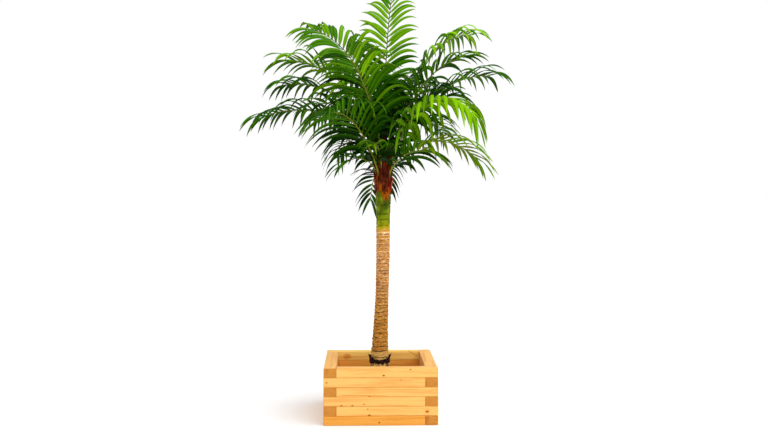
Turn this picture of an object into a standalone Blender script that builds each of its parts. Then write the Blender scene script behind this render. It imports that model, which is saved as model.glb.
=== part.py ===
"""Artificial feather palm, potted in a square planter of stacked timbers.

Metres, +Z up. The origin is the middle of the planter's underside, and the front is towards -Y.
"""

import math
from collections import namedtuple

import bmesh
import bpy
import numpy as np
from mathutils import Vector
from mathutils.bvhtree import BVHTree

TREE = "feather_palm"
CLEAR = 0.0003  # gap left between pieces that rest on each other

# Planter: courses of four timbers, each butting on the side of the next
PLANTER_SIDE = 0.600
COURSES = 6
TIMBER_WIDTH = 0.066
TIMBER_HEIGHT = 0.050
TIMBER_EDGE = 0.0025
TIMBER_LENGTH = PLANTER_SIDE - TIMBER_WIDTH - CLEAR
FLOOR_BOARDS = 3
FLOOR_THICKNESS = 0.018
INSIDE = PLANTER_SIDE - 2 * TIMBER_WIDTH

# Nursery pot that stands on the floor boards, and the cement that holds the trunk in it
POT_FOOT = 0.078  # outer radius
POT_RIM = 0.100
POT_TOP = 0.226
POT_LIP = 0.009  # height of the rolled rim
POT_WALL = 0.0035
CEMENT_TOP = 0.205
POT_SIDES = 40

# Trunk: height, lean along X and radius, from the flat cut on the cement to the tip of the heart
TRUNK = (
    (CEMENT_TOP + CLEAR, 0.000, 0.064),
    (0.235, 0.000, 0.062),
    (0.262, 0.000, 0.0545),
    (0.300, 0.000, 0.0490),
    (0.350, 0.001, 0.0465),
    (0.460, 0.0045, 0.0420),
    (0.630, 0.012, 0.0370),
    (0.860, 0.018, 0.0380),
    (1.035, 0.019, 0.0385),
    (1.120, 0.0195, 0.0385),
    (1.190, 0.020, 0.0425),
    (1.270, 0.020, 0.0440),
    (1.380, 0.020, 0.0490),
    (1.430, 0.020, 0.0440),
    (1.480, 0.020, 0.0310),
    (1.530, 0.020, 0.0180),
    (1.570, 0.020, 0.0080),
)
TRUNK_SIDES = 28

# Ragged collar round the trunk's foot
COLLAR_FOOT = 0.266
COLLAR_TOP = 0.322
COLLAR_FLARE = 0.0105  # how far the top edge stands off the trunk
COLLAR_THICKNESS = 0.003
COLLAR_POINTS = 28
COLLAR_ROWS = (0.0, 0.45, 1.0)  # shares of its height
COLLAR_TATTER = 0.004  # how far every other point of the top edge stands above and below the rest
COLLAR_SIDE_RISE = 0.010  # the left and right stand higher than the front and back
COLLAR_DIP = 0.018

# Loose flaps of leaf sheath: name, turn about the trunk, foot, height, width and stand-off
Flap = namedtuple("Flap", "name turn foot height width lift")
FLAPS = (
    Flap("sheath_flap_right", -12, 1.222, 0.074, 0.046, 0.006),
    Flap("sheath_flap_left", 190, 1.250, 0.060, 0.040, 0.005),
    Flap("sheath_flap_back", 95, 1.235, 0.070, 0.044, 0.005),
)
FLAP_THICKNESS = 0.0024
FLAP_GRID = 5  # points along and across a flap
FLAP_FOOT_WIDTH, FLAP_NARROWING = 0.80, 0.55  # shares of its width at its foot, and lost by its top

# Fronds: turn about the trunk (0 = +X, 90 = the back), height of the seat, rise of the rib at its
# seat and at its tip, how late it bends, its length, its sideways swing, how far it rolls over, and
# the scale and droop of its leaflets
Frond = namedtuple("Frond", "name turn seat rise tip bend length swing roll leaf droop")
FRONDS = (
    Frond("frond_top", 85, 1.500, 77, 57, 1.3, 0.97, -8, 0, 0.76, 0.5),
    Frond("frond_front_middle", -104, 1.374, 70, -25, 1.0, 0.26, 0, 0, 0.50, 1.0),
    Frond("frond_front_left_low", -126, 1.330, 62, -14, 1.25, 0.64, 12, -26, 1.16, 0.95),
    Frond("frond_right_hanging", -37, 1.350, 72, -68, 1.75, 0.775, -3, 0, 0.94, 2.6),
    Frond("frond_front_left_high", -108, 1.445, 64, 8, 0.8, 0.84, 4, -18, 1.08, 0.8),
    Frond("frond_front_right_low", -46, 1.325, 60, -16, 0.85, 0.34, -6, 24, 0.92, 1.0),
    Frond("frond_right_high", 34, 1.465, 65, 1, 2.8, 0.96, 2, 28, 0.90, 1.1),
    Frond("frond_right_upper", -33, 1.450, 64, 9, 2.4, 0.66, 2, 0, 1.00, 0.7),
    Frond("frond_right", 13, 1.400, 65, 0, 1.5, 0.82, 12, 12, 1.00, 1.05),
    Frond("frond_right_low", 24, 1.345, 57, -44, 1.05, 0.60, -8, 8, 0.98, 1.15),
    Frond("frond_left_high", 138, 1.475, 83, 17, 1.25, 0.93, 1, 30, 0.95, 0.9),
    Frond("frond_left_upper", 200, 1.435, 83, 4, 1.15, 0.73, -9, -10, 1.10, 0.7),
    Frond("frond_left", 166, 1.415, 82, -4, 1.0, 0.72, 0, -10, 1.00, 1.0),
    Frond("frond_left_low", 152, 1.380, 72, -20, 0.85, 0.80, 20, -12, 0.98, 1.1),
    Frond("frond_front_left_middle", -138, 1.395, 76, -6, 1.2, 0.50, -6, -14, 1.06, 0.8),
    Frond("frond_front_left", -152, 1.345, 58, -44, 1.0, 0.22, 0, 0, 0.74, 0.9),
    Frond("frond_front_right_middle", -26, 1.400, 78, 0, 1.4, 0.50, 4, 12, 1.00, 0.8),
    Frond("frond_back_right", 52, 1.375, 60, -36, 1.3, 0.72, 4, 0, 0.95, 1.0),
    Frond("frond_back_right_low", 84, 1.320, 48, -62, 0.9, 0.44, 0, 0, 0.65, 1.0),
    Frond("frond_back_left_low", 102, 1.310, 34, -76, 0.8, 0.36, 0, 0, 0.66, 0.9),
    Frond("frond_back_high", 104, 1.460, 74, 4, 1.4, 0.80, 0, 0, 0.95, 0.9),
    Frond("frond_back", 88, 1.405, 64, -20, 1.2, 0.76, 0, 0, 0.95, 1.1),
    Frond("frond_back_left", 126, 1.395, 60, -22, 1.2, 0.74, 0, 0, 0.95, 1.1),
    Frond("frond_back_middle", 115, 1.350, 52, -38, 1.1, 0.66, 0, 0, 0.90, 1.2),
    Frond("frond_back_upper", 62, 1.430, 70, -10, 1.5, 0.76, 0, 0, 0.95, 0.9),
)
RIB_WIDTH = (0.014, 0.005)  # at the seat and at the tip
RIB_THICKNESS = (0.0085, 0.003)
RIB_STEPS = 100
STALK = (0.0, 0.04)  # stations of the bare stalk, as shares of the rib
LEAFLET_PAIRS = 13
LEAFLET_FROM, LEAFLET_TO = 0.080, 0.990
LEAFLET_LENGTH = 0.275
LONGEST_LEAFLET = 0.25  # place of the longest leaflets along the leafy part
FOOT_LEAFLET_LOSS, TIP_LEAFLET_LOSS = 0.25, 0.30
LEAFLET_WIDTH = 0.030
LEAFLET_THICKNESS = 0.0024
LEAFLET_ROOT = 0.42  # share of the spacing that a leaflet takes on the rib
LEAFLET_SWEEP = (60, 26)  # degrees from the rib at its foot and at its tip
LEAFLET_LIFT = (16, 34)  # degrees above the rib's plane where the rib is upright and where it is level
LEAFLET_DROOP = (0.22, 1.30)  # downward pull on its inner and its outer half, times the frond's droop
LEAFLET_TURNS = (0, 14, -14, 28, -28)  # tried in turn where a leaflet would touch a neighbour
LEAFLET_CUTS = (1.0, 0.72, 0.48)
LEAFLET_CLEAR = 0.0020
RIB_BLOCKS = 24  # closed blocks that stand for a rib where leaflets keep clear of it


def material(name, colour, roughness, metallic=0.0):
    made = bpy.data.materials.get(name)
    if made is None:
        made = bpy.data.materials.new(name)
        made.use_nodes = True
        shader = made.node_tree.nodes["Principled BSDF"]
        shader.inputs["Base Color"].default_value = (*colour, 1.0)
        shader.inputs["Roughness"].default_value = roughness
        shader.inputs["Metallic"].default_value = metallic
        made.diffuse_color = (*colour, 1.0)
    return made


def add_object(name, mesh, parts, finish, smooth=None):
    """A new object in the parts collection, shaded smooth below the angle `smooth` in degrees."""
    made = bpy.data.objects.new(name, mesh)
    mesh.materials.append(finish)
    if smooth is not None:
        mesh.shade_smooth()
        mesh.set_sharp_from_angle(angle=math.radians(smooth))
    parts.objects.link(made)
    return made


def box_mesh(name, size):
    mesh = bpy.data.meshes.new(name)
    shape = bmesh.new()
    bmesh.ops.create_cube(shape, size=1.0)
    bmesh.ops.scale(shape, vec=size, verts=shape.verts)
    shape.to_mesh(mesh)
    shape.free()
    return mesh


def round_edges(piece, width):
    bevel = piece.modifiers.new("Edges", "BEVEL")
    bevel.width = width
    bevel.segments = 1


def turned(name, profile, parts, finish, sides):
    """A solid of revolution about Z. The profile's points are (radius, height), outer side first."""
    mesh = bpy.data.meshes.new(name)
    mesh.from_pydata(
        [(radius, 0.0, height) for radius, height in profile],
        [(i, i + 1) for i in range(len(profile) - 1)],
        [],
    )
    piece = add_object(name, mesh, parts, finish)
    screw = piece.modifiers.new("Turn", "SCREW")
    screw.steps = screw.render_steps = sides
    screw.use_merge_vertices = True
    screw.merge_threshold = 0.00005
    screw.use_smooth_shade = False
    return piece


def planter_course(level, mesh, parts, finish):
    """Four timbers that chase each other round the square, the other way round on every other course."""
    hand = -1 if level % 2 else 1
    side_middle = (PLANTER_SIDE - TIMBER_WIDTH) / 2
    slide = (PLANTER_SIDE - TIMBER_LENGTH) / 2
    for quarter, side in enumerate(("front", "right", "back", "left")):
        turn = quarter * math.pi / 2
        along = Vector((math.cos(turn), math.sin(turn), 0.0))
        outward = Vector((math.sin(turn), -math.cos(turn), 0.0))
        name = f"timber_{side}_{level + 1}"
        piece = add_object(name, mesh, parts, finish)
        piece.location = outward * side_middle - along * hand * slide
        piece.location.z = (level + 0.5) * TIMBER_HEIGHT - CLEAR / 2
        piece.rotation_euler.z = turn
        round_edges(piece, TIMBER_EDGE)


def planter(parts):
    finish = material("planter_pine", (0.78, 0.45, 0.17), 0.55)
    mesh = box_mesh("timber", (TIMBER_LENGTH, TIMBER_WIDTH, TIMBER_HEIGHT - CLEAR))
    for level in range(COURSES):
        planter_course(level, mesh, parts, finish)


def floor_boards(parts):
    finish = material("floor_pine", (0.62, 0.40, 0.20), 0.65)
    pitch = (INSIDE - CLEAR) / FLOOR_BOARDS
    mesh = box_mesh("floor_board", (INSIDE - 2 * CLEAR, pitch - CLEAR, FLOOR_THICKNESS))
    for number, name in enumerate(("front", "middle", "back")):
        piece = add_object(f"floor_board_{name}", mesh, parts, finish)
        piece.location = (0.0, (number - (FLOOR_BOARDS - 1) / 2) * pitch, FLOOR_THICKNESS / 2)


def pot_radius(height):
    """Outer radius of the pot's wall at a height above the ground."""
    foot = FLOOR_THICKNESS + CLEAR
    share = (height - foot) / (POT_TOP - foot)
    return POT_FOOT + (POT_RIM - POT_LIP - POT_FOOT) * share


def base_pot(parts):
    foot = FLOOR_THICKNESS + CLEAR
    lip_foot = POT_TOP - POT_LIP
    inner_foot = foot + POT_WALL
    profile = (
        (POT_RIM - POT_WALL * 2, POT_TOP),
        (POT_RIM - POT_WALL, POT_TOP),
        (POT_RIM - POT_WALL, lip_foot),
        (pot_radius(lip_foot), lip_foot),
        (POT_FOOT, foot),
        (0.0, foot),
        (0.0, inner_foot),
        (pot_radius(inner_foot) - POT_WALL, inner_foot),
        (pot_radius(lip_foot) - POT_WALL, lip_foot),
        (POT_RIM - POT_WALL * 2, POT_TOP),
    )
    finish = material("pot_black", (0.02, 0.02, 0.02), 0.45)
    turned("base_pot", profile, parts, finish, POT_SIDES)


def cement_fill(parts):
    foot = FLOOR_THICKNESS + POT_WALL + 2 * CLEAR
    inset = POT_WALL + 3 * CLEAR
    profile = (
        (0.0, CEMENT_TOP),
        (pot_radius(CEMENT_TOP) - inset, CEMENT_TOP),
        (pot_radius(foot) - inset, foot),
        (0.0, foot),
    )
    turned("cement_fill", profile, parts, material("cement", (0.42, 0.40, 0.37), 0.9), POT_SIDES)


def trunk(parts):
    """A tube along the leaning axis, made a mesh so that the other pieces can be fitted to it."""
    guide = bpy.data.curves.new("trunk_guide", "CURVE")
    guide.dimensions = "3D"
    guide.bevel_depth = 1.0
    guide.bevel_resolution = (TRUNK_SIDES - 4) // 2
    guide.use_fill_caps = True
    spline = guide.splines.new("POLY")
    spline.points.add(len(TRUNK) - 1)
    for point, (height, lean, radius) in zip(spline.points, TRUNK):
        point.co = (lean, 0.0, height, 1.0)
        point.radius = radius
    tube = bpy.data.objects.new("trunk_guide", guide)
    parts.objects.link(tube)
    graph = bpy.context.evaluated_depsgraph_get()
    mesh = bpy.data.meshes.new_from_object(tube.evaluated_get(graph))
    shape = bmesh.new()
    shape.from_mesh(mesh)
    bmesh.ops.remove_doubles(shape, verts=shape.verts, dist=0.00005)
    surface = BVHTree.FromBMesh(shape)
    shape.to_mesh(mesh)
    shape.free()
    bpy.data.objects.remove(tube)
    mesh.name = "trunk"
    mesh.materials.clear()
    add_object("trunk", mesh, parts, material("trunk_bark", (0.42, 0.24, 0.11), 0.8), smooth=50)
    return surface


def lean_at(height):
    return float(np.interp(height, [row[0] for row in TRUNK], [row[1] for row in TRUNK]))


def radius_at(height):
    return float(np.interp(height, [row[0] for row in TRUNK], [row[2] for row in TRUNK]))


def outward_at(turn):
    return Vector((math.cos(turn), math.sin(turn), 0.0))


def shell(name, mesh, parts, finish, thickness):
    """Solidify an open surface outwards, away from what it lies on."""
    piece = add_object(name, mesh, parts, finish, smooth=50)
    solid = piece.modifiers.new("Thickness", "SOLIDIFY")
    solid.thickness = thickness
    solid.offset = 1.0
    return piece


def collar_mesh():
    """A sleeve whose top edge stands off the trunk and runs out in points at the left and right."""
    rows = []
    for share in COLLAR_ROWS:
        row = []
        for step in range(COLLAR_POINTS):
            turn = 2 * math.pi * step / COLLAR_POINTS
            sideways = abs(math.cos(turn)) ** 3
            tatter = COLLAR_TATTER * (1 if step % 2 else -1)
            height = COLLAR_FOOT + (COLLAR_TOP - COLLAR_FOOT) * share
            height += (COLLAR_SIDE_RISE * sideways - COLLAR_DIP + tatter) * share
            flare = COLLAR_FLARE * (0.55 + 0.45 * sideways) * share**1.5
            reach = radius_at(height) + 2 * CLEAR + flare
            row.append(outward_at(turn) * reach + Vector((lean_at(height), 0.0, height)))
        rows.append(row)
    faces = []
    for low in range(len(rows) - 1):
        for step in range(COLLAR_POINTS):
            after = (step + 1) % COLLAR_POINTS
            corners = (low, step), (low, after), (low + 1, after), (low + 1, step)
            faces.append([row * COLLAR_POINTS + column for row, column in corners])
    mesh = bpy.data.meshes.new("foot_collar")
    mesh.from_pydata([point for row in rows for point in row], [], faces)
    return mesh


def flap_mesh(flap):
    """A curved tongue against the trunk whose upper end stands off and narrows to a rounded point."""
    points = []
    for row in range(FLAP_GRID):
        share = row / (FLAP_GRID - 1)
        height = flap.foot + flap.height * share
        reach = radius_at(height) + 2 * CLEAR + flap.lift * share**2
        width = flap.width * (FLAP_FOOT_WIDTH - FLAP_NARROWING * share**2.5)
        spread = width / radius_at(height)
        for column in range(FLAP_GRID):
            turn = math.radians(flap.turn) + spread * (column / (FLAP_GRID - 1) - 0.5)
            points.append(outward_at(turn) * reach + Vector((lean_at(height), 0.0, height)))
    faces = []
    for row in range(FLAP_GRID - 1):
        for column in range(FLAP_GRID - 1):
            first = row * FLAP_GRID + column
            faces.append((first, first + 1, first + FLAP_GRID + 1, first + FLAP_GRID))
    mesh = bpy.data.meshes.new(flap.name)
    mesh.from_pydata(points, [], faces)
    return mesh


class Rib:
    """The curve of a frond's rib, with the directions ahead, to its right and to its upper side."""

    def __init__(self, frond, trunk_surface):
        share = np.linspace(0.0, 1.0, RIB_STEPS + 1)
        rise = np.radians(frond.rise + (frond.tip - frond.rise) * share**frond.bend)
        turn = np.radians(frond.turn + frond.swing * share)
        level = np.zeros_like(share)
        ahead = np.stack([np.cos(rise) * np.cos(turn), np.cos(rise) * np.sin(turn), np.sin(rise)], 1)
        flat = np.stack([np.sin(turn), -np.cos(turn), level], 1)
        roll = (math.radians(frond.roll) * np.clip(share * 3, 0, 1))[:, None]
        side = flat * np.cos(roll) + np.cross(flat, ahead) * np.sin(roll)
        upper = np.cross(side, ahead)
        self.share = share
        self.ahead = ahead
        self.side = side
        self.upper = upper
        self.leaf = frond.leaf
        self.droop = frond.droop
        steps = (ahead[1:] + ahead[:-1]) / 2 * frond.length / RIB_STEPS
        way = np.concatenate([[[0.0, 0.0, 0.0]], np.cumsum(steps, axis=0)])
        self.points = way + np.array(self.seat(frond, trunk_surface))

    def seat(self, frond, trunk_surface):
        """The foot of the rib, whose inner edge comes to rest just clear of the trunk."""
        outward = outward_at(math.radians(frond.turn))
        far = outward * 0.5 + Vector((lean_at(frond.seat), 0.0, frond.seat))
        inner = Vector(self.upper[0]) * RIB_THICKNESS[0] / 2
        reach = []
        for across in (-0.5, -0.25, 0.0, 0.25, 0.5):
            start = far + inner + Vector(self.side[0]) * RIB_WIDTH[0] * across
            reach.append(trunk_surface.ray_cast(start, -outward)[3])
        return far - outward * (min(reach) - CLEAR)

    def at(self, share):
        """Place, ahead, side and upper directions at a share of the rib's length."""
        rows = (self.points, self.ahead, self.side, self.upper)
        return [
            Vector([float(np.interp(share, self.share, row[:, axis])) for axis in range(3)])
            for row in rows
        ]

    def half_width(self, share):
        return (RIB_WIDTH[0] + (RIB_WIDTH[1] - RIB_WIDTH[0]) * share) / 2

    def thickness(self, share):
        return RIB_THICKNESS[0] + (RIB_THICKNESS[1] - RIB_THICKNESS[0]) * share

    def edge(self, share, hand):
        """The point on the left (-1) or right (1) edge of the rib."""
        place, _, side, _ = self.at(share)
        return place + side * hand * self.half_width(share)


def leaflet_size(leafy):
    """Share of the full leaflet length at a place along the leafy part of the rib."""
    if leafy < LONGEST_LEAFLET:
        return 1.0 - FOOT_LEAFLET_LOSS * (1.0 - leafy / LONGEST_LEAFLET) ** 2
    return 1.0 - TIP_LEAFLET_LOSS * ((leafy - LONGEST_LEAFLET) / (1.0 - LONGEST_LEAFLET)) ** 3


def leaflet_blade(rib, start, end, hand, turned_up, cut):
    """Corners of one leaflet: its root on the rib's edge, its waist and its tip."""
    middle = (start + end) / 2
    _, ahead, side, upper = rib.at(middle)
    leafy = (middle - LEAFLET_FROM) / (LEAFLET_TO - LEAFLET_FROM)
    sweep = math.radians(LEAFLET_SWEEP[0] + (LEAFLET_SWEEP[1] - LEAFLET_SWEEP[0]) * leafy)
    level = math.hypot(ahead.x, ahead.y)
    lift = math.radians(LEAFLET_LIFT[0] + (LEAFLET_LIFT[1] - LEAFLET_LIFT[0]) * level + turned_up)
    away = side * hand * math.cos(lift) + upper * math.sin(lift)
    outward = ahead * math.cos(sweep) + away * math.sin(sweep)
    inner, outer = [(outward + down(pull * rib.droop)).normalized() for pull in LEAFLET_DROOP]
    length = LEAFLET_LENGTH * rib.leaf * leaflet_size(leafy) * cut
    first, second = rib.edge(start, hand), rib.edge(end, hand)
    root = (first + second) / 2
    waist = root + inner * length * 0.5
    across = (ahead - inner * ahead.dot(inner)).normalized() * LEAFLET_WIDTH / 2
    tip = waist + outer * length * 0.5
    return [first, second, waist + across, waist - across, tip]


def down(pull):
    return Vector((0.0, 0.0, -pull))


def slab(corners, margin):
    """A closed block round a thin blade, for testing what it would touch."""
    first, second, fore, aft, tip = corners
    normal = (fore - aft).cross(tip - first).normalized() * (LEAFLET_THICKNESS / 2 + margin)
    wide = (fore - aft).normalized() * margin
    ring = [first - wide, second + wide, fore + wide, tip, aft - wide]
    points = [point + normal for point in ring] + [point - normal for point in ring]
    faces = [(0, 1, 2), (0, 2, 4), (2, 3, 4), (7, 6, 5), (9, 7, 5), (9, 8, 7)]
    for i in range(5):
        after = (i + 1) % 5
        faces += [(i, i + 5, after), (after, i + 5, after + 5)]
    return points, faces


def rib_block(rib):
    """Closed blocks along the rib, a little larger than the rib itself."""
    points, faces = [], []
    stations = np.linspace(0.0, 1.0, RIB_BLOCKS + 1)
    for share in stations:
        place, _, side, upper = rib.at(float(share))
        wide = side * (rib.half_width(share) + LEAFLET_CLEAR)
        thick = upper * (rib.thickness(share) / 2 + LEAFLET_CLEAR)
        points += [place - wide - thick, place + wide - thick, place + wide + thick, place - wide + thick]
    for block in range(len(stations) - 1):
        for corner in range(4):
            after = (corner + 1) % 4
            low, high = block * 4, block * 4 + 4
            outer = low + after, high + after, high + corner
            faces += [(low + corner, *outer[:2]), (low + corner, *outer[1:])]
    return BVHTree.FromPolygons(points, faces)


def leaflet_roots():
    """Start and end of each leaflet pair's root, as shares of the rib."""
    pitch = (LEAFLET_TO - LEAFLET_FROM) / (LEAFLET_PAIRS - 1 + LEAFLET_ROOT)
    starts = [LEAFLET_FROM + pitch * number for number in range(LEAFLET_PAIRS)]
    return [(start, start + pitch * LEAFLET_ROOT) for start in starts]


def rib_stations():
    """The shares of the rib where its surface has points."""
    return sorted({*STALK, 1.0, *(share for root in leaflet_roots() for share in root)})


def clear_leaflet(rib, start, end, hand, others):
    """The longest form of a leaflet that touches no neighbour, or None."""
    for cut in LEAFLET_CUTS:
        for turned_up in LEAFLET_TURNS:
            corners = leaflet_blade(rib, start, end, hand, turned_up, cut)
            block = slab(corners, LEAFLET_CLEAR)
            tree = BVHTree.FromPolygons(*block)
            if not any(tree.overlap(other) for other in others):
                return corners, block
    return None


def frond_mesh(frond, rib, others):
    """The frond's open surface, with its blocks in a tree that the next fronds keep clear of."""
    stations = rib_stations()
    shape = bmesh.new()
    edges = {
        hand: {share: shape.verts.new(rib.edge(share, hand)) for share in stations} for hand in (-1, 1)
    }
    for start, end in zip(stations, stations[1:]):
        shape.faces.new((edges[-1][start], edges[1][start], edges[1][end], edges[-1][end]))
    block_points, block_faces = [], []
    for start, end in leaflet_roots():
        for hand in (-1, 1):
            found = clear_leaflet(rib, start, end, hand, others)
            if found is None:
                continue
            corners, (points, faces) = found
            fore, aft, tip = (shape.verts.new(corner) for corner in corners[2:])
            root = [edges[hand][start], edges[hand][end]]
            blade = [root + [fore, aft], [aft, fore, tip]]
            for face in blade:
                shape.faces.new(face if hand == -1 else face[::-1])
            block_faces += [[len(block_points) + index for index in face] for face in faces]
            block_points += points
    bmesh.ops.triangulate(shape, faces=shape.faces)
    mesh = bpy.data.meshes.new(frond.name)
    shape.to_mesh(mesh)
    shape.free()
    return mesh, BVHTree.FromPolygons(block_points, block_faces)


def thickness_weights(piece, rib):
    """Full weight at the foot of the rib, down to a leaflet's thickness away from the rib."""
    group = piece.vertex_groups.new(name="thickness")
    stations = rib_stations()
    for index in range(len(piece.data.vertices)):
        if index < 2 * len(stations):
            thick = rib.thickness(stations[index % len(stations)])
        else:
            thick = LEAFLET_THICKNESS
        group.add([index], thick / RIB_THICKNESS[0], "REPLACE")


def fronds(parts, trunk_surface):
    finish = material("frond_green", (0.07, 0.26, 0.03), 0.45)
    ribs = [Rib(frond, trunk_surface) for frond in FRONDS]
    rib_trees = [rib_block(rib) for rib in ribs]
    placed = []
    for number, (frond, rib) in enumerate(zip(FRONDS, ribs)):
        others = [trunk_surface] + rib_trees[:number] + rib_trees[number + 1 :] + placed
        mesh, tree = frond_mesh(frond, rib, others)
        placed.append(tree)
        piece = add_object(frond.name, mesh, parts, finish)
        thickness_weights(piece, rib)
        solid = piece.modifiers.new("Thickness", "SOLIDIFY")
        solid.thickness = RIB_THICKNESS[0]
        solid.offset = 0.0
        solid.vertex_group = "thickness"


def main():
    for old in list(bpy.data.objects):
        bpy.data.objects.remove(old)
    parts = bpy.data.collections.new(TREE)
    bpy.context.scene.collection.children.link(parts)
    planter(parts)
    floor_boards(parts)
    base_pot(parts)
    cement_fill(parts)
    trunk_surface = trunk(parts)
    fibre = material("sheath_fibre", (0.30, 0.07, 0.03), 0.8)
    collar_finish = material("collar_brown", (0.06, 0.035, 0.02), 0.9)
    shell("foot_collar", collar_mesh(), parts, collar_finish, COLLAR_THICKNESS)
    for flap in FLAPS:
        shell(flap.name, flap_mesh(flap), parts, fibre, FLAP_THICKNESS)
    fronds(parts, trunk_surface)


main()
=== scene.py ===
import math
import random
from collections import namedtuple

import bpy
import numpy as np
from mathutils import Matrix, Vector, noise
from mathutils.bvhtree import BVHTree


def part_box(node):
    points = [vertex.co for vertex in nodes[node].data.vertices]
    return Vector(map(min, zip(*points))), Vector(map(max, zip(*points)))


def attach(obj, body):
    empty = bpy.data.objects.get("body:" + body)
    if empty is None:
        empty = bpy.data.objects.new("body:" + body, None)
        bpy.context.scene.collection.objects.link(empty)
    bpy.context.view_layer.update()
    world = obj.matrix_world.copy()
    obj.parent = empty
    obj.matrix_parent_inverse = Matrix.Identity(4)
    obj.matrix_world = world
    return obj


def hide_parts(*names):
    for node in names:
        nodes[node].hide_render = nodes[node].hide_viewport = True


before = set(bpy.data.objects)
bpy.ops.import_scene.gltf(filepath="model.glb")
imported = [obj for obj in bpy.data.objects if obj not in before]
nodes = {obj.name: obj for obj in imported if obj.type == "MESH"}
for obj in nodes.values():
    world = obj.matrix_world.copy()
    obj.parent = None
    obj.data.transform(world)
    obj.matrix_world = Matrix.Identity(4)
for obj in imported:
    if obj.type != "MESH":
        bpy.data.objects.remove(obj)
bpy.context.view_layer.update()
print("frame loaded:", len(nodes), "nodes")


# Shader maths. A Wire wraps a socket, so that expressions on it add Math nodes to its tree.
class Wire:
    def __init__(self, socket):
        self.socket = socket

    def node(self, kind, settings, inputs, output=0):  # settings first, then values or links
        made = self.socket.id_data.nodes.new("ShaderNode" + kind)
        for name, value in settings.items():
            if name == "stops":
                setStops(made.color_ramp, value)
            else:
                setattr(made, name, value)
        for name, value in inputs.items():
            if isinstance(value, Wire):
                value.into(made.inputs[name])
            else:
                made.inputs[name].default_value = value
        return Wire(made.outputs[output])

    def into(self, socket):
        self.socket.id_data.links.new(self.socket, socket)

    def maths(self, operation, first, second):
        return self.node("Math", {"operation": operation}, {0: first, 1: second})

    def __add__(self, other):
        return self.maths("ADD", self, other)

    def __radd__(self, other):
        return self.maths("ADD", other, self)

    def __sub__(self, other):
        return self.maths("SUBTRACT", self, other)

    def __rsub__(self, other):
        return self.maths("SUBTRACT", other, self)

    def __mul__(self, other):
        return self.maths("MULTIPLY", self, other)

    def __rmul__(self, other):
        return self.maths("MULTIPLY", other, self)

    def __pow__(self, other):
        return self.maths("POWER", self, other)


def setStops(ramp, stops):
    while len(ramp.elements) < len(stops):
        ramp.elements.new(1.0)
    for element, (place, tint) in zip(ramp.elements, stops):
        element.position = place
        element.color = tint


def paint(red, green, blue):  # screen values from 0 to 255, as a linear colour
    return (*[(value / 255) ** 2.2 for value in (red, green, blue)], 1.0)


def mixed(factor, first, second):  # a colour between two, at least the factor being a Wire
    return factor.node("Mix", {"data_type": "RGBA"}, {0: factor, 6: first, 7: second}, 2)


def layered(tint, layers):  # each layer is a mask and its colour
    for mask, colour in layers:
        tint = mixed(mask, tint, paint(*colour))
    return tint


def between(value, low, high):  # 0 below low and 1 above high
    limits = {"Value": value, "From Min": low, "From Max": high}
    return value.node("MapRange", {"interpolation_type": "SMOOTHSTEP"}, limits)


def speckle(place, scale, detail=3.0, rough=0.5):
    inputs = {"Vector": place, "Scale": scale, "Detail": detail, "Roughness": rough}
    return place.node("TexNoise", {}, inputs)


def stretched(place, along, shift=(0, 0, 0)):
    return place.node("VectorMath", {"operation": "MULTIPLY_ADD"}, {0: place, 1: along, 2: shift})


def axisOf(place, index):  # X, Y or Z of a vector
    return place.node("SeparateXYZ", {}, {0: place}, index)


def absolute(value):  # without its sign
    return value.node("Math", {"operation": "ABSOLUTE"}, {0: value})


def carried(place, name):  # a value that the mesh carries at its points
    return place.node("Attribute", {"attribute_name": name}, {}, 2)


def bumpInto(shader, height, distance, strength=1.0):
    inputs = {"Strength": strength, "Distance": distance, "Height": height}
    height.node("Bump", {}, inputs, "Normal").into(shader.inputs["Normal"])


def newFinish(name, constants):  # a material, its shader and its object coordinates
    made = bpy.data.materials.new(name)
    made.use_nodes = True
    shader = made.node_tree.nodes["Principled BSDF"]
    for socket, value in constants.items():
        shader.inputs[socket].default_value = value
    place = made.node_tree.nodes.new("ShaderNodeTexCoord").outputs["Object"]
    return made, shader, Wire(place)


# Meshes
def tubeFaces(rings, sides, first=0):  # quads between rings that follow each other, facing out
    low = first + np.arange(rings - 1)[:, None] * sides
    step = np.arange(sides)[None, :]
    after = (step + 1) % sides
    quads = np.stack([low + step, low + after, low + after + sides, low + step + sides], axis=-1)
    return quads.reshape(-1, 4).tolist()


def closedTube(rings, sides, first=0):
    caps = [list(range(sides))[::-1], list(range((rings - 1) * sides, rings * sides))]
    return tubeFaces(rings, sides, first) + [[first + index for index in cap] for cap in caps]


def addPiece(name, points, faces, finishes, slots=None, smooth=40, carries=None):
    mesh = bpy.data.meshes.new(name)
    mesh.from_pydata(np.asarray(points, float).reshape(-1, 3).tolist(), [], faces)
    for finish in finishes:
        mesh.materials.append(finish)
    if slots is not None:
        mesh.polygons.foreach_set("material_index", slots)
    mesh.shade_smooth()
    mesh.set_sharp_from_angle(angle=math.radians(smooth))
    for label, values in (carries or {}).items():
        layer = mesh.attributes.new(label, "FLOAT", "POINT")
        layer.data.foreach_set("value", np.asarray(values, float).ravel())
    piece = bpy.data.objects.new(name, mesh)
    bpy.context.scene.collection.objects.link(piece)
    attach(piece, "root")
    return piece


# Camera, floor and light
view = {
    "place": (-0.107, -5.148, 1.194),
    "yaw": 1.455,  # degrees to the right of +Y
    "pitch": -1.173,
    "lens": 43.73,
}
studio = {
    "floor": (249, 249, 251),
    "floorReach": 60.0,
    "floorDrop": 0.0005,  # below the planter's underside
    "wall": 1.0,  # brightness of the studio's walls
    "ceiling": (0.62, 0.90),  # its brightness at the left and at the right
    "wallTop": (0.24, 0.45),  # the sine of the angle where the walls end and the ceiling starts
    "across": (-0.7, 0.7),  # where the ceiling has its left and its right brightness
    "sun": 2.10,
    "sunAngle": 80,  # its width in degrees, for soft shadows
    "sunFrom": (0.76, -0.70, 1.62),
    "sunTint": (1.0, 0.99, 0.97),
}


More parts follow.
